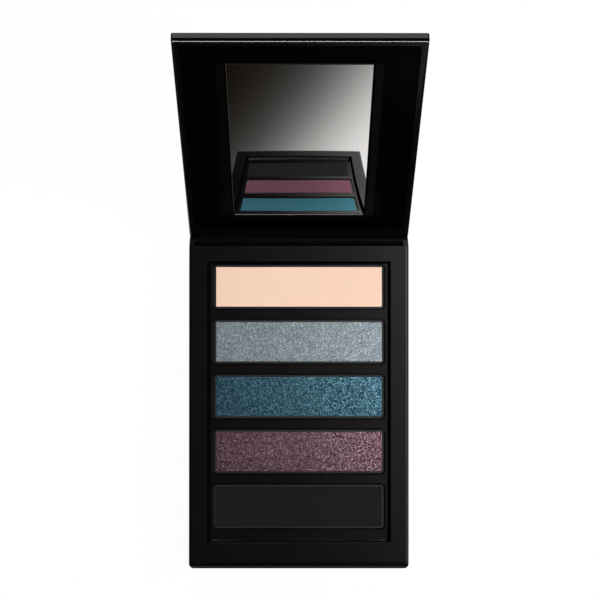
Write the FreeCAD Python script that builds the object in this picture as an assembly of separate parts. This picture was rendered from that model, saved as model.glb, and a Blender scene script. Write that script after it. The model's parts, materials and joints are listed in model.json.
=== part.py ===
import FreeCAD, Part
import math
import os

# Pocket eyeshadow palette, in millimetres.
# The case stands on its underside at z = 0, with the hinge along X at the back (+Y).
# The lid is shaped closed and then swung open to its stop, which is the rest pose.

# Powders and their pans, named from the hinge towards the front edge
colours = ("cream", "slate", "teal", "plum", "black")
powder_length = 43.8
powder_width = 10.5
powder_crown = 0.1
powder_edge_round = 0.15
pan_rim = 0.5
pan_height = 3.0
pan_floor = 0.4
pan_corner = 0.9
pan_heel_round = 0.5
glue_dot_diameter = 5.0
glue_dot_thickness = 0.2
glue_dot_spacing = 24.0

# Tray that holds the pans
pan_clearance = 0.3
rim_drop = 0.15
bar_width = 2.4
well_wall = 0.8
well_floor = 0.7
well_edge_round = 0.1
deck_thickness = 0.7
deck_overlap = 1.0
deck_corner = 1.0
deck_clearance = 0.1
side_margin = 1.0
front_margin = 2.65
back_margin = 0.1

# Frame that covers the base
frame_drop = 0.9
side_bar = 4.8
back_bar = 4.15
window_slope = 0.5
window_corner = 0.4
window_edge_round = 0.08
frame_edge_round = 0.8
front_round_reach = 1.8
front_round_drop = 0.9
lip_thickness = 0.8
lip_depth = 1.2
lip_end_inset = 2.0
lip_clearance = 0.1

# Base shell
base_wall = 1.2
base_floor = 1.2
base_edge_round = 0.8
case_corner = 1.3
seam_round = 0.2
tray_lift = 1.65
rib_thickness = 1.0
rib_spacing = 26.0
rib_end_inset = 3.0

# Hinge
knuckle_radius = 1.25
hinge_gap = 0.35
trough_wall = 1.0
ear_thickness = 1.2
ear_inset = 0.25
ear_gap = 0.25
ear_front_gap = 0.1
tail_step = 0.05
pin_diameter = 1.1
pin_length = 8.0
pin_inset = 0.15
pin_end_gap = 0.3
pin_press_gap = 0.01
pin_running_gap = 0.05
open_angle = 117.4
stop_gap = 0.05
parting_gap = 0.15

# Lid
lid_corner = 0.4
lid_skin = 0.8
lid_air = 0.1
lid_rim = 1.6
lid_ledge = 1.2
lid_edge_round = 0.75
lid_top_round = 0.35
panel_recess = 0.1
panel_thickness = 0.75
panel_gap = 0.12
panel_corner = 0.6
panel_border = 1.9
panel_step = 0.2
field_edge_round = 0.12

# Mirror
mirror_front_margin = 9.0
mirror_back_margin = 11.6
mirror_thickness = 0.7
mirror_corner = 0.6
mirror_bevel = 0.2
mirror_gap = 0.3
mirror_drop = 0.15
surround_width = 2.2
surround_depth = 0.1
pocket_wall = 0.8
pocket_floor = 0.4
tape_thickness = 0.1
tape_inset = 2.0

# Closing magnets in the front corners
magnet_diameter = 4.0
base_magnet_thickness = 1.5
lid_magnet_thickness = 0.6
magnet_clearance = 0.1
boss_wall = 0.7
boss_drop = 0.1
magnet_margin = 0.2
magnet_to_tray = 0.85
magnet_to_mirror = 2.3

# Sizes that follow from the ones above, first across the case
boss_radius = magnet_diameter / 2 + magnet_clearance + boss_wall
corner_stack = lid_rim + lid_ledge + magnet_margin + boss_radius
pan_length = powder_length + 2 * pan_rim
pan_width = powder_width + 2 * pan_rim
well_length = pan_length + 2 * pan_clearance
well_width = pan_width + 2 * pan_clearance
well_corner = pan_corner + pan_clearance
pan_pitch = well_width + bar_width
wells_span = len(colours) * pan_pitch - bar_width
deck_view_width = well_length + 2 * side_margin
window_width = deck_view_width + 2 * window_slope
case_width = window_width + 2 * side_bar
mirror_side_margin = corner_stack + boss_radius + magnet_to_mirror + pocket_wall + mirror_gap
mirror_width = case_width - 2 * mirror_side_margin
magnet_x = case_width / 2 - corner_stack
ear_outer = case_width / 2 - ear_inset
ear_inner = ear_outer - ear_thickness
knuckle_half = ear_inner - ear_gap
pin_outer = ear_outer - pin_inset
pin_inner = pin_outer - pin_length
seat_width = case_width - 2 * lid_rim

# Along the case, from its front edge to the hinge and its back edge
tray_reach = corner_stack + boss_radius + magnet_to_tray + well_wall
front_bar = tray_reach - front_margin - window_slope
frame_length = tray_reach + wells_span + back_margin + window_slope + back_bar
trough_radius = knuckle_radius + hinge_gap
tail = knuckle_radius + tail_step
case_length = frame_length + trough_radius + tail
case_front = -case_length / 2
case_back = case_length / 2
frame_back = case_front + frame_length
hinge_y = frame_back + trough_radius
wells_front = case_front + tray_reach
wells_back = wells_front + wells_span
deck_view_front = wells_front - front_margin
deck_view_back = wells_back + back_margin
lip_front = deck_view_front + lip_end_inset
lip_back = deck_view_back - lip_end_inset
pan_centres = [wells_back - well_width / 2 - pan_pitch * place for place in range(len(colours))]
magnet_y = case_front + corner_stack
mirror_front = case_front + mirror_front_margin
mirror_back = case_back - mirror_back_margin
seat_front = case_front + lid_rim
seat_back = hinge_y - knuckle_radius - lid_rim

# Heights from the underside
tray_bottom = base_floor + tray_lift
well_bottom = tray_bottom + well_floor
pan_bottom = well_bottom + glue_dot_thickness
pan_top = pan_bottom + pan_height
deck_top = pan_top + rim_drop
shell_top = deck_top - deck_thickness
cup_top = shell_top - boss_drop
base_height = deck_top + frame_drop
hinge_z = base_height - knuckle_radius
lid_bottom = base_height + parting_gap
border_z = lid_bottom + panel_recess + panel_step
field_z = lid_bottom + panel_recess
panel_top = border_z + panel_thickness
mirror_face_z = field_z + surround_depth + mirror_drop
mirror_back_z = mirror_face_z + mirror_thickness
pocket_z = mirror_back_z + tape_thickness
lid_inside = max(pocket_z + pocket_floor, panel_top + lid_magnet_thickness) + lid_air
lid_top = lid_inside + lid_skin

# How far a cutting tool runs past the face that it cuts, and how near counts as the same height
past = 1.0
touch = 1e-4


def vec(x, y, z):
    """Point or direction in the part's frame."""
    return FreeCAD.Vector(x, y, z)


def outline(width, front, back, corner, z):
    """Rectangle centred on X, with rounded corners."""
    side = width / 2 - corner
    near = front + corner
    far = back - corner
    centres = ((side, near, 270), (side, far, 0), (-side, far, 90), (-side, near, 180))
    arcs = [Part.makeCircle(corner, vec(x, y, z), vec(0, 0, 1), turn, turn + 90) for x, y, turn in centres]
    edges = []
    for arc, following in zip(arcs, arcs[1:] + arcs[:1]):
        edges.append(arc)
        edges.append(Part.makeLine(arc.Vertexes[-1].Point, following.Vertexes[0].Point))
    return Part.Wire(edges)


def slab(width, front, back, corner, low, high):
    """Flat plate between two heights, with rounded plan corners."""
    return Part.Face(outline(width, front, back, corner, low)).extrude(vec(0, 0, high - low))


def block(x0, x1, y0, y1, z0, z1):
    """Square-cornered block between its two far corners."""
    return Part.makeBox(x1 - x0, y1 - y0, z1 - z0, vec(x0, y0, z0))


def disc(radius, x, y, low, high):
    """Upright round piece."""
    return Part.makeCylinder(radius, high - low, vec(x, y, low))


def rod(radius, x0, x1):
    """Round bar along the hinge axis."""
    return Part.makeCylinder(radius, x1 - x0, vec(x0, hinge_y, hinge_z), vec(1, 0, 0))


def funnel(width, front, back, corner, spread, narrow, wide):
    """Flaring cutter: the given outline at one height and wider by spread at the other, then run past it."""
    reach = 1 + past / abs(wide - narrow)
    grow = spread * reach
    end = narrow + (wide - narrow) * reach
    small = outline(width, front, back, corner, narrow)
    large = outline(width + 2 * grow, front - grow, back + grow, corner + grow, end)
    return Part.makeLoft([small, large], True, True)


def level_edges(shape, height):
    """Edges of the shape that lie flat at one height."""
    boxes = [(edge, edge.BoundBox) for edge in shape.Edges]
    return [edge for edge, box in boxes if abs(box.ZMin - height) < touch and box.ZLength < touch]


def rounded(shape, radius, height):
    """The shape with every edge that lies at one height rounded off."""
    return shape.makeFillet(radius, level_edges(shape, height))


def rounded_within(shape, radius, height, width, front, back):
    """The same, for the edges inside a rectangle centred on X."""
    inner = []
    for edge in level_edges(shape, height):
        middle = edge.CenterOfMass
        if abs(middle.x) < width / 2 + touch and front - touch < middle.y < back + touch:
            inner.append(edge)
    return shape.makeFillet(radius, inner)


def mirrored_pair(shape):
    """The shape and its twin across the middle of the case."""
    return [shape, shape.mirror(vec(0, 0, 0), vec(1, 0, 0))]


def pressed_powder(centre):
    """Cake of powder that fills a pan, with softly rounded top edges."""
    reach = powder_width / 2
    foot = pan_bottom + pan_floor
    top = pan_top + powder_crown
    cake = slab(powder_length, centre - reach, centre + reach, pan_corner - pan_rim, foot, top)
    return rounded(cake, powder_edge_round, top)


def pan(centre):
    """Pressed metal pan with a rounded heel and an open top."""
    body = slab(pan_length, centre - pan_width / 2, centre + pan_width / 2, pan_corner, pan_bottom, pan_top)
    body = rounded(body, pan_heel_round, pan_bottom)
    reach = powder_width / 2
    foot = pan_bottom + pan_floor
    hollow = slab(powder_length, centre - reach, centre + reach, pan_corner - pan_rim, foot, pan_top + past)
    return body.cut(hollow)


def glue_dots():
    """Two round adhesive dots under every pan."""
    radius = glue_dot_diameter / 2
    dots = []
    for centre in pan_centres:
        dots += mirrored_pair(disc(radius, glue_dot_spacing / 2, centre, well_bottom, pan_bottom))
    return Part.makeCompound(dots)


def pan_tray():
    """Moulded deck with a thin-walled well for each pan."""
    deck_width = deck_view_width + 2 * deck_overlap
    front = deck_view_front - deck_overlap
    back = deck_view_back + deck_overlap
    tray = slab(deck_width, front, back, deck_corner, shell_top, deck_top)
    for centre in pan_centres:
        reach = well_width / 2 + well_wall
        corner = well_corner + well_wall
        length = well_length + 2 * well_wall
        tray = tray.fuse(slab(length, centre - reach, centre + reach, corner, tray_bottom, deck_top))
    for centre in pan_centres:
        reach = well_width / 2
        well = slab(well_length, centre - reach, centre + reach, well_corner, well_bottom, deck_top + past)
        tray = tray.cut(well)
    tray = tray.removeSplitter()
    return rounded_within(tray, well_edge_round, deck_top, well_length, wells_front, wells_back)


def front_round():
    """Cutter that leaves a long elliptic round along the frame's front edge."""
    side = -case_width / 2 - past
    centre_y = case_front + front_round_reach
    centre_z = base_height - front_round_drop
    foot = vec(side, case_front, centre_z)
    crest = vec(side, centre_y, base_height)
    arc = Part.ArcOfEllipse(Part.Ellipse(foot, crest, vec(side, centre_y, centre_z)), 0, math.pi / 2)
    front = case_front - past
    roof = base_height + past
    around = [vec(side, centre_y, roof), vec(side, front, roof), vec(side, front, centre_z)]
    rest = Part.makePolygon([crest] + around + [foot])
    section = Part.Face(Part.Wire([arc.toShape()] + rest.Edges))
    return section.extrude(vec(case_width + 2 * past, 0, 0))


def base_frame():
    """Cover plate of the base, square at the hinge, with a sloped window over the tray and locating lips."""
    spare_back = frame_back + case_corner + past
    plate = slab(case_width, case_front, spare_back, case_corner, shell_top, base_height)
    plate = rounded(plate, frame_edge_round, base_height)
    plate = rounded(plate, seam_round, shell_top)
    side = case_width / 2 + past
    behind = block(-side, side, frame_back, spare_back + past, shell_top - past, base_height + past)
    plate = plate.cut([behind, front_round()])
    window = funnel(
        deck_view_width, deck_view_front, deck_view_back, window_corner, window_slope, deck_top, base_height
    )
    plate = plate.cut(window)
    reach = deck_overlap + deck_clearance
    rabbet = slab(
        deck_view_width + 2 * reach,
        deck_view_front - reach,
        deck_view_back + reach,
        deck_corner + deck_clearance,
        shell_top - past,
        deck_top,
    )
    plate = plate.cut(rabbet)
    window_front = deck_view_front - window_slope
    window_back = deck_view_back + window_slope
    plate = rounded_within(plate, window_edge_round, base_height, window_width, window_front, window_back)
    outer = case_width / 2 - base_wall - lip_clearance
    root = shell_top + seam_round
    lip = block(outer - lip_thickness, outer, lip_front, lip_back, shell_top - lip_depth, root)
    return plate.fuse(mirrored_pair(lip)).removeSplitter()


def stop_cut():
    """Wedge cut from the base's back wall, whose slanted floor stops the open lid."""
    turn = math.radians(open_angle)
    depth = tail + stop_gap
    start = (hinge_y + depth * math.cos(turn), hinge_z - depth * math.sin(turn))
    run = case_length / 2
    end = (start[0] + run * math.sin(turn), start[1] + run * math.cos(turn))
    roof = base_height + past
    corners = [start, end, (end[0], roof), (start[0], roof), start]
    side = -case_width / 2 - past
    wedge = Part.Face(Part.makePolygon([vec(side, y, z) for y, z in corners]))
    return wedge.extrude(vec(case_width + 2 * past, 0, 0))


def hinge_ear():
    """Ear at one end of the hinge, round at the back and set in a little from the side wall."""
    front = frame_back + ear_front_gap
    root = hinge_z - trough_radius
    post = block(ear_inner, ear_outer, front, hinge_y, root, base_height)
    return post.fuse(rod(knuckle_radius, ear_inner, ear_outer))


def base_shell():
    """Tub with a hinge trough between two ears, ribs under the tray and cups for the magnets."""
    shell = slab(case_width, case_front, case_back, case_corner, 0, shell_top)
    shell = rounded(shell, base_edge_round, 0)
    shell = rounded(shell, seam_round, shell_top)
    shell = shell.cut([stop_cut(), rod(trough_radius, -ear_inner, ear_inner)])
    shell = shell.fuse(mirrored_pair(hinge_ear()))
    inside = case_width / 2 - base_wall
    cavity_back = frame_back - trough_wall
    cavity = block(-inside, inside, case_front + base_wall, cavity_back, base_floor, shell_top + past)
    under_hinge = hinge_z - trough_radius - trough_wall
    pocket = block(-inside, inside, cavity_back - past, case_back - base_wall, base_floor, under_hinge)
    shell = shell.cut([cavity, pocket])
    rib_left = rib_spacing / 2 - rib_thickness / 2
    rib_front = wells_front + rib_end_inset
    rib_back = wells_back - rib_end_inset
    rib = block(rib_left, rib_left + rib_thickness, rib_front, rib_back, 0, tray_bottom)
    cup = disc(boss_radius, magnet_x, magnet_y, 0, cup_top)
    shell = shell.fuse(mirrored_pair(rib) + mirrored_pair(cup))
    seat_radius = magnet_diameter / 2 + magnet_clearance
    seat = disc(seat_radius, magnet_x, magnet_y, cup_top - base_magnet_thickness, cup_top + past)
    bore = rod(pin_diameter / 2 + pin_press_gap, ear_inner - past, case_width / 2 + past)
    return shell.cut(mirrored_pair(seat) + mirrored_pair(bore)).removeSplitter()


def base_magnets():
    """Pair of disc magnets in the cups behind the front edge."""
    magnet = disc(magnet_diameter / 2, magnet_x, magnet_y, cup_top - base_magnet_thickness, cup_top)
    return Part.makeCompound(mirrored_pair(magnet))


def hinge_pins():
    """Pair of steel pins, pressed into the ears, that the lid turns on."""
    return Part.makeCompound(mirrored_pair(rod(pin_diameter / 2, pin_inner, pin_outer)))


def opened(shape):
    """The closed lid's piece swung back to the open stop."""
    return shape.rotated(vec(0, hinge_y, hinge_z), vec(1, 0, 0), -open_angle)


def lid_shell():
    """Outer lid with a rounded rim, a ledged recess for the panel and the hinge knuckle."""
    shell = slab(case_width, case_front, case_back, lid_corner, lid_bottom, lid_top)
    shell = rounded(shell, lid_top_round, lid_top)
    shell = rounded(shell, lid_edge_round, lid_bottom)
    barrel = rod(knuckle_radius, -knuckle_half, knuckle_half)
    leg = block(
        -knuckle_half,
        knuckle_half,
        hinge_y - knuckle_radius,
        hinge_y + knuckle_radius,
        hinge_z,
        lid_bottom + lid_edge_round,
    )
    shell = shell.fuse([barrel, leg])
    seat = slab(seat_width, seat_front, seat_back, panel_corner, lid_bottom - past, panel_top)
    room_width = seat_width - 2 * lid_ledge
    room_front = seat_front + lid_ledge
    room_back = seat_back - lid_ledge
    hollow = slab(room_width, room_front, room_back, panel_corner, field_z, lid_inside)
    bore = rod(pin_diameter / 2 + pin_running_gap, pin_inner - pin_end_gap, case_width / 2)
    return shell.cut([seat, hollow] + mirrored_pair(bore)).removeSplitter()


def lid_panel():
    """Inner panel of the lid: a raised field with a dished surround and a pocket for the mirror."""
    width = seat_width - 2 * panel_gap
    front = seat_front + panel_gap
    back = seat_back - panel_gap
    border = slab(width, front, back, panel_corner, border_z, panel_top)
    inset = panel_border - panel_gap
    field = slab(width - 2 * inset, front + inset, back - inset, panel_corner, field_z, panel_top)
    field = rounded(field, field_edge_round, field_z)
    glass_width = mirror_width + 2 * mirror_gap
    glass_front = mirror_front - mirror_gap
    glass_back = mirror_back + mirror_gap
    glass_corner = mirror_corner + mirror_gap
    cup = slab(
        glass_width + 2 * pocket_wall,
        glass_front - pocket_wall,
        glass_back + pocket_wall,
        glass_corner + pocket_wall,
        border_z,
        pocket_z + pocket_floor,
    )
    ring = disc(boss_radius, magnet_x, magnet_y, border_z, panel_top + lid_magnet_thickness)
    panel = border.fuse([field, cup] + mirrored_pair(ring))
    pocket = slab(glass_width, glass_front, glass_back, glass_corner, field_z - past, pocket_z)
    dish = funnel(
        glass_width, glass_front, glass_back, glass_corner, surround_width, field_z + surround_depth, field_z
    )
    seat = disc(magnet_diameter / 2 + magnet_clearance, magnet_x, magnet_y, panel_top, lid_top)
    return panel.cut([pocket, dish] + mirrored_pair(seat)).removeSplitter()


def mirror():
    """Glass mirror with ground front edges."""
    glass = slab(mirror_width, mirror_front, mirror_back, mirror_corner, mirror_face_z, mirror_back_z)
    edges = [edge for edge in glass.Edges if abs(edge.BoundBox.ZMax - mirror_face_z) < touch]
    return glass.makeChamfer(mirror_bevel, edges)


def mirror_tape():
    """Double-sided tape between the mirror and the floor of its pocket."""
    front = mirror_front + tape_inset
    back = mirror_back - tape_inset
    return slab(mirror_width - 2 * tape_inset, front, back, mirror_corner, mirror_back_z, pocket_z)


def lid_magnets():
    """Pair of thin disc magnets in the rings behind the lid's panel."""
    magnet = disc(magnet_diameter / 2, magnet_x, magnet_y, panel_top, panel_top + lid_magnet_thickness)
    return Part.makeCompound(mirrored_pair(magnet))


def pieces():
    """Every piece of the palette, by name, with the lid open."""
    made = {
        "base_shell": base_shell(),
        "base_frame": base_frame(),
        "pan_tray": pan_tray(),
        "pan_glue_dots": glue_dots(),
        "base_magnets": base_magnets(),
        "hinge_pins": hinge_pins(),
    }
    for colour, centre in zip(colours, pan_centres):
        made["pan_" + colour] = pan(centre)
        made["powder_" + colour] = pressed_powder(centre)
    lid = {
        "lid_shell": lid_shell(),
        "lid_panel": lid_panel(),
        "mirror": mirror(),
        "mirror_tape": mirror_tape(),
        "lid_magnets": lid_magnets(),
    }
    for name, shape in lid.items():
        made[name] = opened(shape)
    return made


os.makedirs("parts", exist_ok=True)
for name, shape in pieces().items():
    shape.exportStep("parts/" + name + ".step")
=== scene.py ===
"""Looks of a slim eyeshadow palette: five pressed powders in a black case with a mirrored lid, open."""
import json
import logging
import math
from dataclasses import dataclass
from enum import Enum
from typing import Any, Optional, Union

import bmesh
import bpy
from mathutils import Euler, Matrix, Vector


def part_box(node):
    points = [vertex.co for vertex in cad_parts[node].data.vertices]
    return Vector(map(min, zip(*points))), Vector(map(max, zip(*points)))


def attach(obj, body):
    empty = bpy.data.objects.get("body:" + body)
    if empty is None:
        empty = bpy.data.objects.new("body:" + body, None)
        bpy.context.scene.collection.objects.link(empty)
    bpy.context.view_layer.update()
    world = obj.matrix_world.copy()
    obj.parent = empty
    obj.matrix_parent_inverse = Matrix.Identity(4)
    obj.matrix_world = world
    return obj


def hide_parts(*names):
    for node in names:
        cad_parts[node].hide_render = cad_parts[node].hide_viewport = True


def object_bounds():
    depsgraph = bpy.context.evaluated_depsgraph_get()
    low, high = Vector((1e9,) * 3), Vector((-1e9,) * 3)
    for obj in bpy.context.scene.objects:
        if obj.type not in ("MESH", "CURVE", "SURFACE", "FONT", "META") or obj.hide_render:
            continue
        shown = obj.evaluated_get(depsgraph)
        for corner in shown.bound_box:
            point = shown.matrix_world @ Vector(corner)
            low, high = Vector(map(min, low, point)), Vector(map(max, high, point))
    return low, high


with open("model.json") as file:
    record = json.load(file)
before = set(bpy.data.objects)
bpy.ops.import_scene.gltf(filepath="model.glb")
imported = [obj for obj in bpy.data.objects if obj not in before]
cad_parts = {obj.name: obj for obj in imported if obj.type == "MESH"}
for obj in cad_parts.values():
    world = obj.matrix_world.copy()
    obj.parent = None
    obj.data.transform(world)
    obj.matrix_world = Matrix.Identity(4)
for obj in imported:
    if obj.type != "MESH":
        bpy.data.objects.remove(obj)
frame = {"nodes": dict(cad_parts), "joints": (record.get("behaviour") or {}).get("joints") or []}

Colour = tuple[float, float, float, float]
Point = tuple[float, float, float]
Span = tuple[float, float]
Stops = tuple[tuple[float, Colour], ...]
Key = Union[int, str]

CAD_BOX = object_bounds()
MM = 0.001
MIDDLE = 0.5  # of a value that runs from 0 to 1
EDGE_BLUR = 0.03 * MM
ANYWHERE: Span = (-0.1, 0.1)  # reaches past the lid at both ends
COLOUR_MIX_INPUTS = (0, 6, 7)  # a Mix node's sockets for the factor and two colours
COLOUR_MIX_RESULT = 2
X_WAY, Y_WAY, Z_WAY = (Vector(way) for way in ((1.0, 0.0, 0.0), (0.0, 1.0, 0.0), (0.0, 0.0, 1.0)))

log = logging.getLogger("palette")


def grey(level: float) -> Colour:
    """A neutral linear colour."""
    return (level, level, level, 1.0)


def scaled(colour: Colour, factor: float) -> Colour:
    """The colour made lighter or darker by a factor."""
    return (colour[0] * factor, colour[1] * factor, colour[2] * factor, 1.0)


class Signal:
    """A shader socket. Arithmetic on it adds Math nodes."""

    def __init__(self, graph: "Graph", socket: Optional[bpy.types.NodeSocket]) -> None:
        """Wraps one output socket of a graph."""
        self.graph = graph
        self.socket = socket

    def _math(self, operation: str, first: Any, second: Any) -> "Signal":
        """A Math node on two values or signals."""
        return self.graph.node("ShaderNodeMath", {"operation": operation}, {0: first, 1: second})

    def __add__(self, other: Any) -> "Signal":
        """Sum."""
        return self._math("ADD", self, other)

    def __radd__(self, other: Any) -> "Signal":
        """Sum with the number first."""
        return self._math("ADD", other, self)

    def __sub__(self, other: Any) -> "Signal":
        """Difference."""
        return self._math("SUBTRACT", self, other)

    def __rsub__(self, other: Any) -> "Signal":
        """Difference with the number first."""
        return self._math("SUBTRACT", other, self)

    def __mul__(self, other: Any) -> "Signal":
        """Product."""
        return self._math("MULTIPLY", self, other)

    def __rmul__(self, other: Any) -> "Signal":
        """Product with the number first."""
        return self._math("MULTIPLY", other, self)

    def __pow__(self, other: Any) -> "Signal":
        """Power."""
        return self._math("POWER", self, other)

    def __rpow__(self, other: Any) -> "Signal":
        """Power with the number as its base."""
        return self._math("POWER", other, self)

    def at_most(self, limit: Any) -> "Signal":
        """The smaller of the signal and a limit."""
        return self._math("MINIMUM", self, limit)

    def between(self, low: float, high: float, blur: float) -> "Signal":
        """A mask of the values between two limits.

        Args:
            low: The lower limit.
            high: The upper limit.
            blur: How wide each limit is smeared.

        Returns:
            1 where the signal lies between the limits and 0 elsewhere.
        """
        inside = (self - low).at_most(high - self) * (1.0 / blur) + MIDDLE
        inside.socket.node.use_clamp = True
        return inside

    def output(self, name: str) -> "Signal":
        """Another output of the same node."""
        return Signal(self.graph, self.socket.node.outputs[name])


class Graph:
    """A node tree that is filled from Python expressions."""

    def __init__(self, tree: bpy.types.NodeTree) -> None:
        """Empties a node tree and takes it over."""
        tree.nodes.clear()
        self.tree = tree

    def node(
        self,
        kind: str,
        settings: Optional[dict[str, Any]] = None,
        inputs: Optional[dict[Key, Any]] = None,
        output: Key = 0,
    ) -> Signal:
        """Adds a node.

        Args:
            kind: The node's type.
            settings: Its properties, with "stops" for a ramp's positions and colours.
            inputs: Values for its sockets, or signals to link to them.
            output: The output that is handed back.

        Returns:
            The chosen output, or an empty signal where the node has none.
        """
        made = self.tree.nodes.new(kind)
        for name, value in (settings or {}).items():
            if name == "stops":
                self._set_stops(made.color_ramp, value)
            else:
                setattr(made, name, value)
        for key, value in (inputs or {}).items():
            if isinstance(value, Signal):
                self.tree.links.new(value.socket, made.inputs[key])
            else:
                made.inputs[key].default_value = value
        return Signal(self, made.outputs[output] if len(made.outputs) else None)

    @staticmethod
    def _set_stops(ramp: bpy.types.ColorRamp, stops: Stops) -> None:
        """Gives a ramp its stops.

        Args:
            ramp: The ramp, with no more stops than it gets.
            stops: The position and colour of each stop, in order along the ramp.
        """
        while len(ramp.elements) < len(stops):
            ramp.elements.new(1.0)
        ramp.interpolation = "B_SPLINE"
        for element, (position, colour) in zip(ramp.elements, stops):
            element.position = position
            element.color = colour

    def place(self) -> Signal:
        """Object coordinates, in metres."""
        return self.node("ShaderNodeTexCoord", {}, {}, "Object")

    def stretched(self, place: Signal, scale: Point) -> Signal:
        """Coordinates scaled along each axis."""
        return self.node("ShaderNodeMapping", {}, {"Vector": place, "Scale": scale})

    def noise(self, place: Signal, size: float, detail: float = 2.0) -> Signal:
        """Noise from 0 to 1 with blotches of about the given size in metres."""
        inputs = {"Vector": place, "Scale": 1.0 / size, "Detail": detail}
        return self.node("ShaderNodeTexNoise", {}, inputs)

    def mix(self, factor: Any, first: Any, second: Any) -> Signal:
        """Mix of two colours by a factor."""
        inputs = dict(zip(COLOUR_MIX_INPUTS, (factor, first, second)))
        return self.node("ShaderNodeMix", {"data_type": "RGBA"}, inputs, COLOUR_MIX_RESULT)

    def varied(self, share: Signal, colour: Colour, spread: float) -> Signal:
        """A colour that a share from 0 to 1 takes from darker to lighter, each by the spread."""
        return self.mix(share, scaled(colour, 1.0 - spread), scaled(colour, 1.0 + spread))

    def dimmed(self, share: Signal, colour: Colour, spread: float) -> Signal:
        """A colour that a share from 0 to 1 takes from darker by the spread to full."""
        return self.mix(share, scaled(colour, 1.0 - spread), colour)

    def vector(self, operation: str, first: Any, second: Any = (0.0, 0.0, 0.0)) -> Signal:
        """A Vector Math node on two vectors."""
        return self.node("ShaderNodeVectorMath", {"operation": operation}, {0: first, 1: second})

    def tipped(self, offset: Signal) -> Signal:
        """The surface's own normal, tipped by an offset."""
        upright = self.node("ShaderNodeNewGeometry", {}, {}, "Normal")
        return self.vector("NORMALIZE", self.vector("ADD", upright, offset))

    def bump(self, height: Signal, depth: float) -> Signal:
        """Normal of a relief whose full height is the given depth in metres."""
        return self.node("ShaderNodeBump", {}, {"Height": height, "Distance": depth})

    def principled(self, inputs: dict[Key, Any]) -> Signal:
        """A Principled shader with the given sockets."""
        return self.node("ShaderNodeBsdfPrincipled", {}, inputs)

    def glow(self, colour: Any) -> Signal:
        """A shader that gives off a colour as it is."""
        return self.node("ShaderNodeEmission", {}, {"Color": colour, "Strength": 1.0})

    def blend(self, share: Signal, first: Signal, second: Signal) -> Signal:
        """Mix of two shaders by a share."""
        return self.node("ShaderNodeMixShader", {}, {0: share, 1: first, 2: second})


class Finish:
    """What one surface is made of."""

    name: str

    def shade(self, graph: Graph) -> Signal:
        """Builds the surface's shader in a graph."""
        raise NotImplementedError

    def material(self) -> bpy.types.Material:
        """Makes a Blender material of the finish.

        Returns:
            The material, named after the finish.
        """
        made = bpy.data.materials.new(self.name)
        made.use_nodes = True
        graph = Graph(made.node_tree)
        graph.node("ShaderNodeOutputMaterial", {}, {"Surface": self.shade(graph)})
        return made


@dataclass(frozen=True)
class Band:
    """The strip of a surface that lies within two limits along each of some directions."""

    limits: tuple[tuple[Vector, Span], ...]
    blur: float = EDGE_BLUR

    def mask(self, graph: Graph, place: Signal) -> Signal:
        """Marks the strip.

        Args:
            graph: The material's node tree.
            place: The surface's coordinates.

        Returns:
            1 in the strip and 0 beside it.
        """
        shares = [
            graph.vector("DOT_PRODUCT", place, way).output("Value").between(low, high, self.blur)
            for way, (low, high) in self.limits
        ]
        return math.prod(shares[1:], start=shares[0])


@dataclass(frozen=True)
class Streak:
    """A strip of a surface with a colour of its own, here a painted highlight or painted shade."""

    band: Band
    colour: Colour

    def over(self, graph: Graph, place: Signal, plain: Signal) -> Signal:
        """The plain colour, with the streak painted over it."""
        return graph.mix(self.band.mask(graph, place), plain, self.colour)


@dataclass(frozen=True)
class MouldedPlastic(Finish):
    """Black plastic with its mould's fine spark texture, uneven gloss and, where set, painted highlights
    in streaks.
    """

    name: str
    colour: Colour
    roughness: float
    specular: float
    grain: float = 0.16 * MM
    grain_detail: float = 1.0
    grain_depth: float = 0.0015 * MM
    grain_share: float = 0.3
    blotch: float = 9.0 * MM
    blotch_detail: float = 3.0
    gloss_spread: float = 0.08
    tint_spread: float = 0.35
    streaks: tuple[Streak, ...] = ()

    def shade(self, graph: Graph) -> Signal:
        """Spark texture in the relief, slow blotches in gloss and tint.

        Args:
            graph: The material's node tree.

        Returns:
            The plastic's shader.
        """
        place = graph.place()
        blotches = graph.noise(place, self.blotch, self.blotch_detail)
        grain = graph.noise(place, self.grain, self.grain_detail)
        share = blotches * (1.0 - self.grain_share) + grain * self.grain_share
        tint = graph.varied(share, self.colour, self.tint_spread)
        return graph.principled({
            "Base Color": self.streaked(graph, place, tint),
            "Roughness": self.roughness + (blotches - MIDDLE) * self.gloss_spread,
            "Specular IOR Level": self.specular,
            "Normal": graph.bump(grain, self.grain_depth),
        })

    def streaked(self, graph: Graph, place: Signal, colour: Signal) -> Signal:
        """Paints the plastic's streaks, which are painted highlights, over a colour.

        Args:
            graph: The material's node tree.
            place: The surface's coordinates.
            colour: The colour under the streaks.

        Returns:
            The colour with the streaks.
        """
        for streak in self.streaks:
            colour = streak.over(graph, place, colour)
        return colour


@dataclass(frozen=True)
class Polish:
    """A polished strip of a plastic surface."""

    band: Band
    tone: float
    specular: float
    roughness: float = 0.2
    tone_spread: float = 0.2

    def over(self, graph: Graph, place: Signal, plain: Signal, grain: Signal) -> Signal:
        """Lays the polished strip over a shader.

        Args:
            graph: The material's node tree.
            place: The surface's coordinates.
            plain: The shader of the surface beside the strip.
            grain: What the strip's tone varies with.

        Returns:
            The shader with the strip.
        """
        polished = graph.principled({
            "Base Color": graph.varied(grain, grey(self.tone), self.tone_spread),
            "Roughness": self.roughness,
            "Specular IOR Level": self.specular,
        })
        return graph.blend(self.band.mask(graph, place), plain, polished)


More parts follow.
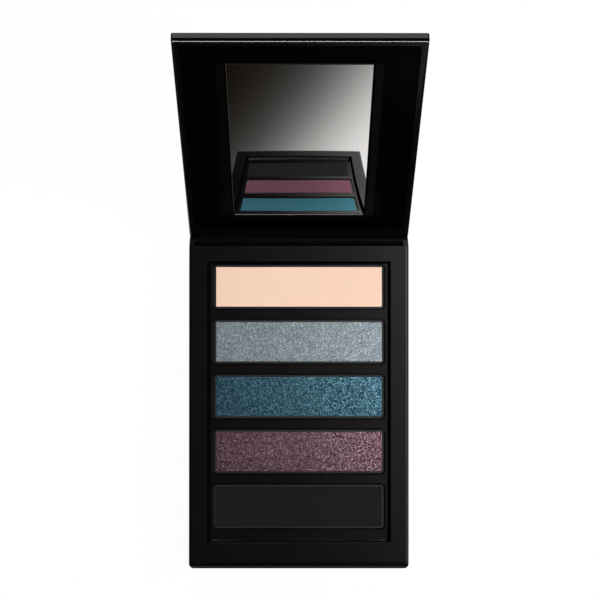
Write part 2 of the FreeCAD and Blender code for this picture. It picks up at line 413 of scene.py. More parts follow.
@dataclass(frozen=True)
class PlasticWithPaintedShade(MouldedPlastic):
    """Moulded plastic with shade painted as dull black in sunk corners and on rolled edges, and an
    optional polished strip.
    """

    # bands where shade is painted as dull black with no gloss
    dull: tuple[Band, ...] = ()
    painted_shade_tones: Span = (0.0006, 0.0018)
    dull_roughness: float = 0.9
    polish: Optional[Polish] = None

    def shade(self, graph: Graph) -> Signal:
        """The plastic, with painted shade as dull black in its bands and its strip polished.

        Args:
            graph: The material's node tree.

        Returns:
            The plastic's shader.
        """
        place = graph.place()
        grain = graph.noise(place, self.grain)
        # The dull black below is painted shade.
        darkest, lightest = (grey(tone) for tone in self.painted_shade_tones)
        painted_shade_black = graph.mix(grain, darkest, lightest)
        dull = graph.principled({
            "Base Color": self.streaked(graph, place, painted_shade_black),
            "Roughness": self.dull_roughness,
            "Specular IOR Level": 0.0,
        })
        share = sum(band.mask(graph, place) for band in self.dull).at_most(1.0)
        plastic = graph.blend(share, super().shade(graph), dull)
        return self.polish.over(graph, place, plastic, grain) if self.polish else plastic


@dataclass(frozen=True)
class MattePowder(Finish):
    """Pressed matte powder: a chalky, even surface with a very fine grain."""

    name: str
    colour: Colour
    specular: float = 0.25
    roughness: float = 0.82
    grain: float = 0.09 * MM
    grain_depth: float = 0.006 * MM
    grain_share: float = 0.45
    cloud: float = 3.5 * MM
    gloss_spread: float = 0.1
    tint_spread: float = 0.03

    def shade(self, graph: Graph) -> Signal:
        """Fine grain in relief and tint, over faint clouds left by the press.

        Args:
            graph: The material's node tree.

        Returns:
            The powder's shader.
        """
        place = graph.place()
        clouds = graph.noise(place, self.cloud)
        grain = graph.noise(place, self.grain)
        share = clouds * (1.0 - self.grain_share) + grain * self.grain_share
        return graph.principled({
            "Base Color": graph.varied(share, self.colour, self.tint_spread),
            "Roughness": self.roughness + (grain - MIDDLE) * self.gloss_spread,
            "Specular IOR Level": self.specular,
            "Normal": graph.bump(grain, self.grain_depth),
        })


@dataclass(frozen=True)
class ShimmerPowder(Finish):
    """Pressed powder full of pearl flakes, each tipped its own way, with glints painted into the colour
    of the brightest.
    """

    name: str
    colour: Colour
    drift: Colour
    flash: Colour
    sheen: Colour
    metallic: float
    flake: float = 0.14 * MM
    flake_tip: float = 0.065
    flash_rarity: float = 5.0
    roughness: float = 0.2
    specular: float = 0.1
    drift_size: float = 4.0 * MM
    sheen_weight: float = 1.0
    sheen_roughness: float = 0.3

    def shade(self, graph: Graph) -> Signal:
        """Random flakes in tilt, and in colour with painted glints, over a slow drift of hue.

        Args:
            graph: The material's node tree.

        Returns:
            The powder's shader.
        """
        place = graph.place()
        cells = {"Vector": place, "Scale": 1.0 / self.flake}
        flakes = graph.node("ShaderNodeTexVoronoi", {}, cells, "Color")
        chance = graph.node("ShaderNodeSeparateColor", {}, {"Color": flakes})
        ground = graph.mix(graph.noise(place, self.drift_size), self.colour, self.drift)
        spread = (2 * self.flake_tip,) * 3
        tilt = graph.vector("MULTIPLY", graph.vector("SUBTRACT", flakes, (MIDDLE,) * 3), spread)
        return graph.principled({
            # The flash colour on rare flakes is a painted glint.
            "Base Color": graph.mix(chance ** self.flash_rarity, ground, self.flash),
            "Metallic": self.metallic,
            "Roughness": self.roughness,
            "Specular IOR Level": self.specular,
            "Specular Tint": self.sheen,
            "Sheen Weight": self.sheen_weight,
            "Sheen Roughness": self.sheen_roughness,
            "Sheen Tint": self.sheen,
            "Normal": graph.tipped(tilt),
        })


@dataclass(frozen=True)
class LacqueredTin(Finish):
    """Thin drawn tin under black lacquer, with fine draw lines."""

    name: str
    colour: Colour = (0.016, 0.016, 0.017, 1.0)
    metallic: float = 0.35
    roughness: float = 0.3
    specular: float = 0.1
    line: float = 0.25 * MM
    line_stretch: Point = (0.06, 1.0, 1.0)
    line_depth: float = 0.002 * MM
    gloss_spread: float = 0.15
    tint_spread: float = 0.4

    def shade(self, graph: Graph) -> Signal:
        """Draw lines along the pan in tint, gloss and relief.

        Args:
            graph: The material's node tree.

        Returns:
            The tin's shader.
        """
        lines = graph.noise(graph.stretched(graph.place(), self.line_stretch), self.line)
        return graph.principled({
            "Base Color": graph.varied(lines, self.colour, self.tint_spread),
            "Metallic": self.metallic,
            "Specular IOR Level": self.specular,
            "Roughness": self.roughness + (lines - MIDDLE) * self.gloss_spread,
            "Normal": graph.bump(lines, self.line_depth),
        })


@dataclass(frozen=True)
class BrightMetal(Finish):
    """Turned or plated metal with fine lines square to the X axis."""

    name: str
    colour: Colour
    roughness: float
    line: float = 0.12 * MM
    line_stretch: Point = (1.0, 0.1, 0.1)
    line_depth: float = 0.001 * MM
    gloss_spread: float = 0.12
    tint_spread: float = 0.15

    def shade(self, graph: Graph) -> Signal:
        """Fine turning lines in tint, gloss and relief.

        Args:
            graph: The material's node tree.

        Returns:
            The metal's shader.
        """
        lines = graph.noise(graph.stretched(graph.place(), self.line_stretch), self.line)
        return graph.principled({
            "Base Color": graph.dimmed(lines, self.colour, self.tint_spread),
            "Metallic": 1.0,
            "Roughness": self.roughness + (lines - MIDDLE) * self.gloss_spread,
            "Normal": graph.bump(lines, self.line_depth),
        })


@dataclass(frozen=True)
class Glue(Finish):
    """Cured adhesive, cloudy and slightly uneven."""

    name: str
    colour: Colour = (0.62, 0.58, 0.47, 1.0)
    roughness: float = 0.45
    cloud: float = 0.8 * MM
    cloud_detail: float = 3.0
    lump_depth: float = 0.02 * MM
    gloss_spread: float = 0.2
    tint_spread: float = 0.2

    def shade(self, graph: Graph) -> Signal:
        """Cloudy tint and gloss over a lumpy relief.

        Args:
            graph: The material's node tree.

        Returns:
            The glue's shader.
        """
        clouds = graph.noise(graph.place(), self.cloud, self.cloud_detail)
        return graph.principled({
            "Base Color": graph.dimmed(clouds, self.colour, self.tint_spread),
            "Roughness": self.roughness + clouds * self.gloss_spread,
            "Normal": graph.bump(clouds, self.lump_depth),
        })


@dataclass(frozen=True)
class OpenLid:
    """Where the lid lies at rest, from the hinge that the frame states."""

    axis: Vector
    angle: float

    @classmethod
    def from_frame(cls) -> "OpenLid":
        """Reads the hinge's axis and how far the lid stands open."""
        hinge = next(joint for joint in frame["joints"] if joint["child"] == "lid")
        return cls(Vector(hinge["pos_m"]), math.radians(hinge["range_deg"][1]))

    def along(self) -> Vector:
        """Direction from the hinge to the lid's free end."""
        return Vector((0.0, -math.cos(self.angle), math.sin(self.angle)))

    def outwards(self) -> Vector:
        """Direction from the lid's inside to its outside."""
        return Vector((0.0, math.sin(self.angle), math.cos(self.angle)))

    def band(
        self,
        reach: Span,
        depth: Span = ANYWHERE,
        across: Span = ANYWHERE,
        blur: float = EDGE_BLUR,
    ) -> Band:
        """A strip of the lid.

        Args:
            reach: Where it starts and ends along the lid, from the hinge's axis.
            depth: Where it starts and ends through the lid, from the hinge's axis outwards.
            across: Where it starts and ends from the lid's middle to its sides.
            blur: How wide its limits are.

        Returns:
            The strip, in the place where the lid rests.
        """
        spans = ((self.along(), reach), (self.outwards(), depth), (X_WAY, across))
        return Band(tuple((way, self._from_axis(way, span)) for way, span in spans), blur)

    def _from_axis(self, way: Vector, span: Span) -> Span:
        """Limits that count from the hinge's axis, as limits that count from the origin."""
        start = self.axis.dot(way)
        return (start + span[0], start + span[1])


@dataclass(frozen=True)
class SilveredGlass(Finish):
    """Mirror glass, with the slight bow of its silver that spreads what it reflects."""

    name: str
    lid: OpenLid
    # ground edges that don't reflect, in tones of painted highlight and shade
    ground: tuple[Streak, ...]
    ground_roughness: float = 0.5
    colour: Colour = (0.90, 0.905, 0.90, 1.0)
    tint_spread: float = 0.015
    roughness: float = 0.012
    wipe: float = 2.5 * MM
    wipe_stretch: Point = (1.0, 0.25, 0.25)
    wipe_detail: float = 3.0
    wipe_least: float = 0.6
    wipe_spread: float = 0.8
    tip: float = 0.1053
    bow_across: float = 0.0048 / MM
    bow_taper: float = -0.000048 / MM ** 2
    bow_aside: float = 0.00002553 / MM ** 2
    bow_along: float = 0.00008326 / MM ** 2
    bow_end: float = 40.0 * MM
    wave: float = -0.000038 / MM ** 2
    wave_span: float = 18.0 * MM

    def shade(self, graph: Graph) -> Signal:
        """Polished silver with faint wiping streaks and a bowed normal, inside ground edges whose tones
        are painted highlight and shade.

        Args:
            graph: The material's node tree.

        Returns:
            The mirror's shader.
        """
        place = graph.place()
        wiped = graph.noise(graph.stretched(place, self.wipe_stretch), self.wipe, self.wipe_detail)
        colour = graph.dimmed(wiped, self.colour, self.tint_spread)
        # The ground edges' colours are painted: a highlight at the left, shade at the head and the right.
        for streak in self.ground:
            colour = streak.over(graph, place, colour)
        dull = sum(streak.band.mask(graph, place) for streak in self.ground).at_most(1.0)
        silver = self.roughness * (self.wipe_least + wiped * self.wipe_spread)
        return graph.principled({
            "Base Color": colour,
            "Metallic": 1.0 - dull,
            "Specular IOR Level": 0.0,
            "Roughness": silver + dull * self.ground_roughness,
            "Normal": self._facing(graph, place),
        })

    def _facing(self, graph: Graph, place: Signal) -> Signal:
        """The way the silver faces: it leans outwards at the sides, and towards the free end.

        Args:
            graph: The material's node tree.
            place: The glass's coordinates.

        Returns:
            The normal, in the scene's coordinates.
        """
        along, outwards = self.lid.along(), self.lid.outwards()
        reach = graph.vector("DOT_PRODUCT", place, along).output("Value")
        near = (reach - (self.lid.axis.dot(along) + self.bow_end)).at_most(0.0)
        aside = graph.node("ShaderNodeSeparateXYZ", {}, {0: place}, "X")
        wave = (near * (near + self.wave_span)).at_most(0.0) * self.wave
        lift = near * near * self.bow_along + aside * aside * self.bow_aside + wave + self.tip
        tilts = {
            "X": aside * (near * self.bow_taper + self.bow_across),
            "Y": lift * along.y - outwards.y,
            "Z": lift * along.z - outwards.z,
        }
        facing = graph.node("ShaderNodeCombineXYZ", {}, tilts)
        turn = {"vector_type": "VECTOR", "convert_from": "OBJECT", "convert_to": "WORLD"}
        return graph.vector("NORMALIZE", graph.node("ShaderNodeVectorTransform", turn, {0: facing}))


def dress(finish: bpy.types.Material, *nodes: str) -> None:
    """Gives CAD nodes their material.

    Args:
        finish: The material that covers them.
        nodes: The nodes' names.
    """
    for node in nodes:
        slots = frame["nodes"][node].data.materials
        slots.clear()
        slots.append(finish)
        log.info("%s dressed in %s", node, finish.name)


def select_only(piece: Optional[bpy.types.Object] = None) -> None:
    """Deselects everything and, where a piece is given, selects it and makes it active.

    Args:
        piece: The piece to select.
    """
    bpy.ops.object.select_all(action="DESELECT")
    if piece:
        piece.select_set(True)
        bpy.context.view_layer.objects.active = piece


class Shade(Enum):
    """The five shades, from the hinge to the front."""

    CREAM = "cream"
    SLATE = "slate"
    TEAL = "teal"
    PLUM = "plum"
    BLACK = "black"

    @property
    def node(self) -> str:
        """The CAD node of the shade's powder."""
        return f"powder_{self.value}"


POWDERS: dict[Shade, Finish] = {
    Shade.CREAM: MattePowder("cream_powder", (0.86, 0.60, 0.455, 1.0)),
    Shade.SLATE: ShimmerPowder(
        "slate_powder",
        colour=(0.109, 0.146, 0.158, 1.0),
        drift=(0.120, 0.141, 0.182, 1.0),
        flash=(0.510, 0.568, 0.565, 1.0),
        sheen=(0.80, 0.90, 1.0, 1.0),
        metallic=0.25,
    ),
    Shade.TEAL: ShimmerPowder(
        "teal_powder",
        colour=(0.0050, 0.0325, 0.0415, 1.0),
        drift=(0.0098, 0.0263, 0.0565, 1.0),
        flash=(0.124, 0.241, 0.285, 1.0),
        sheen=(0.20, 0.80, 1.0, 1.0),
        metallic=0.62,
    ),
    Shade.PLUM: ShimmerPowder(
        "plum_powder",
        colour=(0.0565, 0.0203, 0.0255, 1.0),
        drift=(0.0475, 0.0195, 0.0355, 1.0),
        flash=(0.285, 0.200, 0.225, 1.0),
        sheen=(1.0, 0.42, 0.60, 1.0),
        metallic=0.62,
    ),
    Shade.BLACK: MattePowder("black_powder", (0.0082, 0.0082, 0.0082, 1.0), specular=0.08),
}


@dataclass
class PowderRow:
    """The five pressed cakes of powder, and the pans that hold them."""

    edge_round: float = 0.12 * MM
    edge_steps: int = 3
    foot_height: float = 0.1 * MM
    level_facing: float = 0.99
    smooth_angle: float = math.radians(50)
    crown_steps: tuple[tuple[float, float], ...] = (
        (0.03 * MM, 0.0),
        (1.2 * MM, 0.008 * MM),
        (1.2 * MM, 0.005 * MM),
        (1.2 * MM, 0.002 * MM),
    )

    def build(self) -> None:
        """Models one cake, copies it into every pan, and dresses cakes and pans."""
        first = self._model(Shade.CREAM)
        cakes = {shade: first if shade is Shade.CREAM else self._copy(first, shade) for shade in Shade}
        tin = LacqueredTin("pan_tin").material()
        for shade, cake in cakes.items():
            cake.data.materials.append(POWDERS[shade].material())
            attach(cake, "base")
            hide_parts(shade.node)
            shade.node
            dress(tin, f"pan_{shade.value}")
            log.info("%s pressed into its pan", cake.name)

    def _model(self, shade: Shade) -> bpy.types.Object:
        """Shapes one cake from a cube of its size, with softly rounded edges and a low crown.

        Args:
            shade: The shade whose pan the cake fills.

        Returns:
            The cake.
        """
        low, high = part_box(shade.node)
        size = high - low - Vector((0.0, 0.0, sum(rise for _, rise in self.crown_steps)))
        select_only()
        bpy.ops.mesh.primitive_cube_add(size=1.0, location=low + size / 2, scale=size)
        bpy.ops.object.transform_apply(location=True, rotation=True, scale=True)
        cake = bpy.context.object
        cake.name = f"cake_{shade.value}"
        bpy.ops.object.mode_set(mode="EDIT")
        self._round_edges(cake, low.z)
        self._raise_crown(cake)
        bpy.ops.object.mode_set(mode="OBJECT")
        bpy.ops.object.shade_smooth_by_angle(angle=self.smooth_angle)
        return cake

    def _round_edges(self, cake: bpy.types.Object, bottom: float) -> None:
        """Bevels every edge but those round the underside.

        Args:
            cake: The cake, in edit mode.
            bottom: The height of its underside.
        """
        bpy.ops.mesh.select_mode(type="EDGE")
        mesh = bmesh.from_edit_mesh(cake.data)
        for edge in mesh.edges:
            edge.select_set(max(vert.co.z for vert in edge.verts) - bottom > self.foot_height)
        bmesh.update_edit_mesh(cake.data)
        bpy.ops.mesh.bevel(offset=self.edge_round, segments=self.edge_steps, affect="EDGES")

    def _raise_crown(self, cake: bpy.types.Object) -> None:
        """Insets the top: a narrow level ring, then steps that each rise less than the one before.

        Args:
            cake: The cake, in edit mode.
        """
        bpy.ops.mesh.select_mode(type="FACE")
        bpy.ops.mesh.select_all(action="DESELECT")
        mesh = bmesh.from_edit_mesh(cake.data)
        level = [face for face in mesh.faces if face.normal.z > self.level_facing]
        max(level, key=lambda face: face.calc_area()).select_set(True)
        bmesh.update_edit_mesh(cake.data)
        for width, rise in self.crown_steps:
            bpy.ops.mesh.inset(thickness=width)
            bpy.ops.transform.translate(value=(0.0, 0.0, rise))

    @staticmethod
    def _copy(first: bpy.types.Object, shade: Shade) -> bpy.types.Object:
        """Copies the first cake, with a mesh of its own, into another pan.

        Args:
            first: The cream cake.
            shade: The shade whose pan the copy fills.

        Returns:
            The copy.
        """
        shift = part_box(shade.node)[0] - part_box(Shade.CREAM.node)[0]
        select_only(first)
        bpy.ops.object.duplicate(linked=False)
        cake = bpy.context.object
        cake.name = f"cake_{shade.value}"
        bpy.ops.transform.translate(value=shift)
        bpy.ops.object.transform_apply(location=True, rotation=True, scale=True)
        return cake


@dataclass
class Case:
    """The base: its shell and cover frame, the tray in it, and what is hidden inside."""

    window_inset: float = 0.44 * MM
    overreach: float = 0.1 * MM
    margin_inset: float = 1.3 * MM
    margin_blur: float = 0.5 * MM
    roll_back: float = 1.0 * MM
    # A painted highlight along the front's rolled edge.
    roll_highlight: Span = (7.46 * MM, 7.585 * MM)
    roll_highlight_tone: float = 0.033
    front_inset: float = 1.8 * MM
    # A painted highlight along the window's front edge.
    front_edge_highlight: Span = (0.18 * MM, 0.44 * MM)
    front_edge_highlight_tone: float = 0.0068
    front_bevel: Span = (0.70 * MM, 1.05 * MM)
    front_bevel_tone: float = 0.006
    front_bevel_specular: float = 0.8
    pin: Finish = BrightMetal("pin_steel", grey(0.07), roughness=0.4)
    magnet: Finish = BrightMetal("magnet_plate", grey(0.62), roughness=0.22)
    glue: Finish = Glue("cured_glue")

    def build(self) -> None:
        """Dresses the base's nodes, and the lid's magnets and tape, which are of the same stuff."""
        cover = (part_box("base_frame")[0].z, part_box("base_frame")[1].z + self.overreach)
        shell = PlasticWithPaintedShade(
            "case_plastic",
            colour=grey(0.0022),
            roughness=0.15,
            specular=0.1,
            # Painted highlights along the rolled front and the window's front edge.
            streaks=(
                Streak(self._roll(self.roll_highlight), grey(self.roll_highlight_tone)),
                Streak(self._front_strip(self.front_edge_highlight), grey(self.front_edge_highlight_tone)),
            ),
            # Painted shade: dull black on the window's walls and on the frame's rolled front.
            dull=(self._window(), self._roll(cover)),
            polish=Polish(
                self._front_strip(self.front_bevel),
                tone=self.front_bevel_tone,
                specular=self.front_bevel_specular,
            ),
        )
        tray = PlasticWithPaintedShade(
            "tray_plastic",
            colour=grey(0.0014),
            roughness=0.16,
            specular=0.1,
            # Painted shade: dull black on the tray's margins by the window's sides.
            dull=self._margins(),
        )
        dress(shell.material(), "base_shell", "base_frame")
        dress(tray.material(), "pan_tray")
        dress(self.pin.material(), "hinge_pins")
        dress(self.magnet.material(), "base_magnets", "lid_magnets")
        dress(self.glue.material(), "pan_glue_dots", "mirror_tape")

    def _roll(self, heights: Span) -> Band:
        """The rolled edge along the case's front, between two heights."""
        front = CAD_BOX[0][1]
        return Band(((Y_WAY, (front - self.overreach, front + self.roll_back)), (Z_WAY, heights)))

    def _window(self) -> Band:
        """What lies within the frame's window, which is a little smaller than the tray under it.

        Returns:
            The window, from the tray's deck upwards.
        """
        low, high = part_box("pan_tray")
        inset = self.window_inset
        across, along = ((low[axis] + inset, high[axis] - inset) for axis in (0, 1))
        return Band(((X_WAY, across), (Y_WAY, along), (Z_WAY, self._above_tray())))

    def _front_strip(self, steps: Span) -> Band:
        """A strip along the front of the window.

        Args:
            steps: Where it starts and ends, from the tray's front backwards.

        Returns:
            The strip, which stops short of the window's corners.
        """
        low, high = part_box("pan_tray")
        across = (low.x + self.front_inset, high.x - self.front_inset)
        along = (low.y + steps[0], low.y + steps[1])
        return Band(((X_WAY, across), (Y_WAY, along), (Z_WAY, self._above_tray())))

    def _above_tray(self) -> Span:
        """The heights from just under the tray's deck to just above the frame."""
        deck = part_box("pan_tray")[1].z - self.overreach
        return (deck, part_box("base_frame")[1].z + self.overreach)

    def _margins(self) -> tuple[Band, ...]:
        """The tray's two margins beside the pans, where the shade by the window's sides is painted.

        Returns:
            The left margin and the right one.
        """
        low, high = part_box("pan_tray")
        left = (low.x - self.margin_blur, low.x + self.margin_inset)
        right = (high.x - self.margin_inset, high.x + self.margin_blur)
        return tuple(Band(((X_WAY, span),), self.margin_blur) for span in (left, right))


@dataclass
class Lid:
    """The lid: its shell, the inner panel and the mirror."""

    end_reach: Span = (86.2 * MM, 86.8 * MM)
    # A painted highlight along the lid's free end.
    end_highlight_depth: Span = (1.55 * MM, 1.633 * MM)
    end_highlight_tone: float = 0.5
    # Painted shade beside that highlight, as a dull band.
    end_shade_depth: Span = (1.74 * MM, 2.40 * MM)
    glass_reach: Span = (10.0 * MM, 78.0 * MM)
    glass_side: float = 17.0 * MM
    glass_head: Span = (77.25 * MM, 78.0 * MM)
    glass_left: Span = (-17.1 * MM, -16.88 * MM)
    glass_right: Span = (16.8 * MM, 17.1 * MM)
    glass_blur: float = 0.003 * MM
    # The mirror's ground edges: painted shade at the head and the right, a painted highlight at the left.
    head_shade_tone: float = 0.012
    left_highlight_tone: float = 0.15
    right_shade_tone: float = 0.003
    lip_width: float = 0.35 * MM
    surround_width: float = 1.9 * MM
    # Painted highlights beside the mirror, lighter at the right.
    surround_highlight_tones: tuple[float, float] = (0.0018, 0.0034)
    # A painted highlight on the pocket's wall at the hinge.
    pocket_foot: tuple[Span, Span] = ((9.95 * MM, 10.05 * MM), (1.82 * MM, 2.06 * MM))
    foot_highlight_tone: float = 0.21

    def build(self) -> None:
        """Dresses the lid's nodes."""
        lid = OpenLid.from_frame()
        shell = PlasticWithPaintedShade(
            "lid_plastic",
            colour=grey(0.0020),
            roughness=0.15,
            specular=0.06,
            # A painted highlight along the free end, and painted shade as a dull band beside it.
            streaks=(Streak(lid.band(self.end_reach, self.end_highlight_depth), grey(self.end_highlight_tone)),),
            dull=(lid.band(self.end_reach, self.end_shade_depth),),
        )
        panel = MouldedPlastic(
            "panel_plastic",
            colour=grey(0.0008),
            roughness=0.15,
            specular=0.004,
            streaks=self._panel_highlights(lid),
        )
        dress(shell.material(), "lid_shell")
        dress(panel.material(), "lid_panel")
        dress(SilveredGlass("mirror_silver", lid, self._ground_edges_with_painted_light(lid)).material(), "mirror")

    def _panel_highlights(self, lid: OpenLid) -> tuple[Streak, ...]:
        """Painted highlights: the surround at both sides of the mirror, and the wall of its pocket at the
        hinge.

        Args:
            lid: Where the lid lies.

        Returns:
            The left surround, the right surround and the pocket's wall.
        """
        lip = self.glass_side + self.lip_width
        edge = lip + self.surround_width
        left, right = (grey(tone) for tone in self.surround_highlight_tones)
        return (
            Streak(lid.band(self.glass_reach, across=(-edge, -lip)), left),
            Streak(lid.band(self.glass_reach, across=(lip, edge)), right),
            Streak(lid.band(*self.pocket_foot, across=(-lip, lip)), grey(self.foot_highlight_tone)),
        )

    def _ground_edges_with_painted_light(self, lid: OpenLid) -> tuple[Streak, ...]:
        """The mirror's ground edges, which don't reflect, with a painted highlight at the left and
        painted shade elsewhere.

        Args:
            lid: Where the lid lies.

        Returns:
            The edge at the lid's free end, the left edge and the right edge.
        """
        left, right = (
            lid.band(self.glass_reach, across=side, blur=self.glass_blur)
            for side in (self.glass_left, self.glass_right)
        )
        return (
            Streak(lid.band(self.glass_head, blur=self.glass_blur), grey(self.head_shade_tone)),
            Streak(left, grey(self.left_highlight_tone)),
            Streak(right, grey(self.right_shade_tone)),
        )


@dataclass(frozen=True)
class PaleFloor(Finish):
    """Floor that the camera, metal and glass see as white, with a trace of the object's shadow on it."""

    name: str = "pale_floor"
    colour: Colour = grey(0.9)
    lift: float = 0.97
    fibre: float = 2.0 * MM
    tint_spread: float = 0.015

    def shade(self, graph: Graph) -> Signal:
        """A white surface, lifted towards white for the rays that show it.

        Args:
            graph: The material's node tree.

        Returns:
            The floor's shader.
        """
        fibres = graph.noise(graph.place(), self.fibre)
        paper = graph.dimmed(fibres, self.colour, self.tint_spread)
        matte = graph.node("ShaderNodeBsdfDiffuse", {}, {"Color": paper})
        rays = graph.node("ShaderNodeLightPath", {}, {}, "Is Camera Ray")
        shown = (rays + rays.output("Is Glossy Ray") + rays.output("Is Transmission Ray")).at_most(1.0)
        return graph.blend(shown * self.lift, matte, graph.glow(grey(1.0)))


@dataclass(frozen=True)
class GradedCard(Finish):
    """Studio card that runs from dark at its left to bright at its right, and darker upwards."""

    name: str = "graded_card"
    left: float = -71.2 * MM
    right: float = 42.8 * MM
    climb: float = 1.0
    stops: Stops = (
        (0.0, (0.0065, 0.0042, 0.0024, 1.0)),
        (0.18, (0.0182, 0.0152, 0.0125, 1.0)),
        (0.32, (0.0416, 0.0396, 0.0368, 1.0)),
        (0.46, (0.1145, 0.113, 0.108, 1.0)),
        (0.60, (0.312, 0.304, 0.296, 1.0)),
        (0.74, (0.63, 0.614, 0.60, 1.0)),
        (0.86, (0.84, 0.814, 0.803, 1.0)),
        (1.0, (0.95, 0.92, 0.91, 1.0)),
    )

    def shade(self, graph: Graph) -> Signal:
        """A glow that follows a slanted ramp.

        Args:
            graph: The material's node tree.

        Returns:
            The card's shader.
        """
        place = graph.node("ShaderNodeSeparateXYZ", {}, {0: graph.place()}, "X")
        slanted = place - place.output("Z") * self.climb
        share = (slanted - self.left) * (1.0 / (self.right - self.left))
        return graph.glow(graph.node("ShaderNodeValToRGB", {"stops": self.stops}, {0: share}))


@dataclass(frozen=True)
class CeilingCard(Finish):
    """Overhead card that glows towards the back right and is dim at its left."""

    name: str = "ceiling_card"
    dim: float = 0.2
    glow: float = 2.1
    limit: float = 5.0
    full_at: tuple[float, float] = (76.8 * MM, 44.3 * MM)
    fall: tuple[float, float] = (55.0 * MM, 165.0 * MM)

    def shade(self, graph: Graph) -> Signal:
        """A glow that falls by a fixed share for each step to the left or to the front.

        Args:
            graph: The material's node tree.

        Returns:
            The card's shader.
        """
        place = graph.node("ShaderNodeSeparateXYZ", {}, {0: graph.place()}, "X")
        right = (place - self.full_at[0]) * (1.0 / self.fall[0])
        back = (place.output("Y") - self.full_at[1]) * (1.0 / self.fall[1])
        return graph.glow((math.e ** right).at_most(self.limit) * math.e ** back * self.glow + self.dim)


@dataclass(frozen=True)
class DarkCard(Finish):
    """Studio card seen only in reflections, with a faint glow that paints dark reflections on the case's
    edges.
    """

    name: str
    level: float
    level_spread: float = 0.1
    fibre: float = 1.0 * MM

    def shade(self, graph: Graph) -> Signal:
        """A faint glow with a fibre-like grain."""
        fibres = graph.noise(graph.place(), self.fibre)
        return graph.glow(graph.varied(fibres, grey(self.level), self.level_spread))


def settle(name: str, material: bpy.types.Material, unseen_by: tuple[str, ...] = ()) -> None:
    """Applies the transform of the piece that was just added, names it, gives it its material and hides
    it from the given kinds of rays.

    Args:
        name: The piece's name.
        material: What covers it.
        unseen_by: The kinds of rays that pass it by.
    """
    bpy.ops.object.transform_apply(location=True, rotation=True, scale=True)
    piece = bpy.context.object
    piece.name = name
    piece.data.materials.append(material)
    for ray in unseen_by:
        setattr(piece, f"visible_{ray}", False)
    log.info("%s set on the stage", name)


@dataclass(frozen=True)
class Card:
    """A studio card that only shows in reflections. Its size is 0 along the way that it faces."""

    name: str
    finish: Finish
    centre: Point
    size: Point
    thickness: float = 0.2 * MM
    unseen_by: tuple[str, ...] = ("camera", "diffuse", "shadow", "transmission", "volume_scatter")

    def build(self) -> None:
        """Stands the card in its place."""
        select_only()
        sides = [max(side, self.thickness) for side in self.size]
        bpy.ops.mesh.primitive_cube_add(size=1.0, location=self.centre, scale=sides)
        settle(self.name, self.finish.material(), self.unseen_by)


@dataclass(frozen=True)
class Softbox:
    """A rectangular studio lamp."""

    name: str
    place: Point
    aim: Point
    width: float
    height: float
    radiance: float
    shows: bool = True

    def build(self) -> None:
        """Adds the lamp, turned to its aim, and hides it from reflections where it must not show."""
        select_only()
        bpy.ops.object.light_add(type="AREA", location=self.place)
        lamp = bpy.context.object
        lamp.name = self.name
        way = Vector(self.aim) - Vector(self.place)
        lamp.rotation_euler = way.to_track_quat("-Z", "Y").to_euler()
        lamp.visible_camera = False
        lamp.visible_glossy = self.shows
        lamp.data.shape = "RECTANGLE"
        lamp.data.size = self.width
        lamp.data.size_y = self.height
        lamp.data.energy = self.radiance * math.pi * self.width * self.height


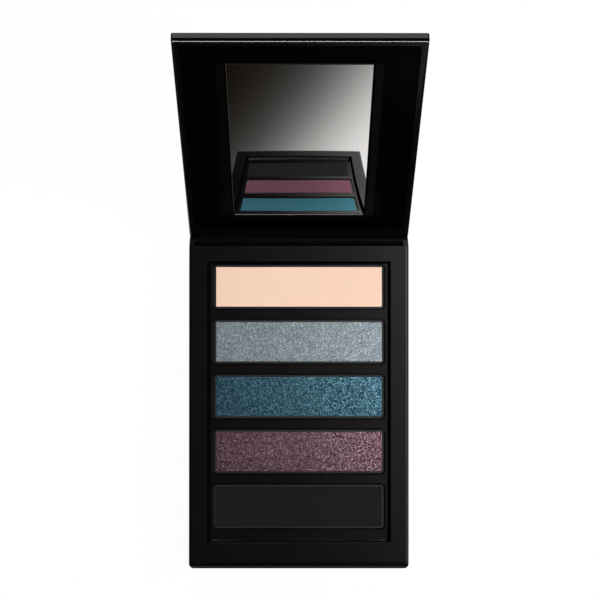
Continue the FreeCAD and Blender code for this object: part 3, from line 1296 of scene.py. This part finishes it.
@dataclass
class Studio:
    """Floor, cards, lamps, sky and camera."""

    floor_size: float = 4.0
    floor_gap: float = 0.05 * MM
    wall_radius: float = 1.9
    wall_height: float = 0.6
    wall_sides: int = 128
    sky_levels: tuple[float, float] = (0.45, 0.10)
    image_width: float = 600.0
    sensor: float = 36.0
    focal_pixels: float = 1842.5
    nearest: float = 10.0 * MM
    camera_place: Point = (-1.73 * MM, 22.19 * MM, 493.91 * MM)
    camera_turn: Point = (0.545, -0.238, 0.015)
    cards: tuple[Card, ...] = (
        Card("front_card", GradedCard(), (0.0, -55.0 * MM, 35.0 * MM), (0.20, 0.0, 0.07)),
        Card("front_sheet", GradedCard(), (0.0, -47.5 * MM, 0.3 * MM), (0.20, 0.015, 0.0)),
        # Faintly glowing cards that only show in reflections, as painted reflections on the case's edges.
        Card("under_sheet", DarkCard("dark_glow", 0.004), (0.0, -1.0 * MM, 0.3 * MM), (0.20, 0.078, 0.0)),
        Card("left_card", DarkCard("grey_glow", 0.15), (-46.0 * MM, 0.02, 0.05), (0.0, 0.20, 0.10)),
        Card("right_sheet", DarkCard("dim_glow", 0.05), (0.08, 0.072, 0.3 * MM), (0.10, 0.068, 0.0)),
        Card("ceiling_card", CeilingCard(), (0.375, -0.04, 0.90), (1.05, 0.32, 0.0)),
    )
    softboxes: tuple[Softbox, ...] = (
        Softbox(
            "top_softbox",
            place=(0.40, -0.05, 0.46),
            aim=(0.0, 0.0, 0.0),
            width=0.40,
            height=0.40,
            radiance=6.7,
            shows=False,
        ),
        Softbox(
            "right_softbox",
            place=(0.573, -0.02, 0.371),
            aim=(0.0, 0.0, 0.0),
            width=0.30,
            height=0.20,
            radiance=11.0,
        ),
        Softbox(
            "back_softbox",
            place=(0.0, 0.837, 0.355),
            aim=(0.0, 0.085, 0.08),
            width=0.50,
            height=0.28,
            radiance=12.0,
        ),
    )

    def build(self) -> None:
        """Sets up everything round the object."""
        self._lay_floor()
        for piece in (*self.cards, *self.softboxes):
            piece.build()
        self._light_sky()
        self._place_camera()
        bpy.context.scene.view_settings.view_transform = "Standard"

    def _lay_floor(self) -> None:
        """The pale floor just under the case, and the pale wall that closes it off all round."""
        pale = PaleFloor().material()
        level = CAD_BOX[0][2] - self.floor_gap
        select_only()
        bpy.ops.mesh.primitive_plane_add(size=self.floor_size, location=(0.0, 0.0, level))
        settle("floor", pale)
        bpy.ops.mesh.primitive_cylinder_add(
            vertices=self.wall_sides,
            radius=self.wall_radius,
            depth=self.wall_height,
            end_fill_type="NOTHING",
            location=(0.0, 0.0, level + self.wall_height / 2),
        )
        settle("wall", pale, ("diffuse", "shadow"))

    def _light_sky(self) -> None:
        """A dim sky that is darker overhead."""
        world = bpy.data.worlds.new("studio")
        bpy.context.scene.world = world
        world.use_nodes = True
        graph = Graph(world.node_tree)
        way = graph.node("ShaderNodeTexCoord", {}, {}, "Generated")
        height = graph.node("ShaderNodeSeparateXYZ", {}, {0: way}, "Z")
        low, high = (grey(level) for level in self.sky_levels)
        sky = graph.node("ShaderNodeValToRGB", {"stops": ((0.0, low), (1.0, high))}, {0: height})
        background = graph.node("ShaderNodeBackground", {}, {"Color": sky})
        graph.node("ShaderNodeOutputWorld", {}, {"Surface": background})

    def _place_camera(self) -> None:
        """The camera of the photograph, straight above the open palette."""
        select_only()
        turn = Euler([math.radians(angle) for angle in self.camera_turn], "XYZ")
        bpy.ops.object.camera_add(location=self.camera_place, rotation=turn)
        camera = bpy.context.object
        camera.name = "camera"
        camera.data.sensor_width = self.sensor
        camera.data.lens = self.focal_pixels * self.sensor / self.image_width
        camera.data.clip_start = self.nearest
        bpy.context.scene.camera = camera


def main() -> None:
    """Builds the palette's looks and the studio round it."""
    logging.basicConfig(level=logging.INFO, format="%(name)s: %(message)s")
    for assembly in (Case(), PowderRow(), Lid(), Studio()):
        assembly.build()
        log.info("%s done", type(assembly).__name__)


if __name__ == "__main__":
    main()
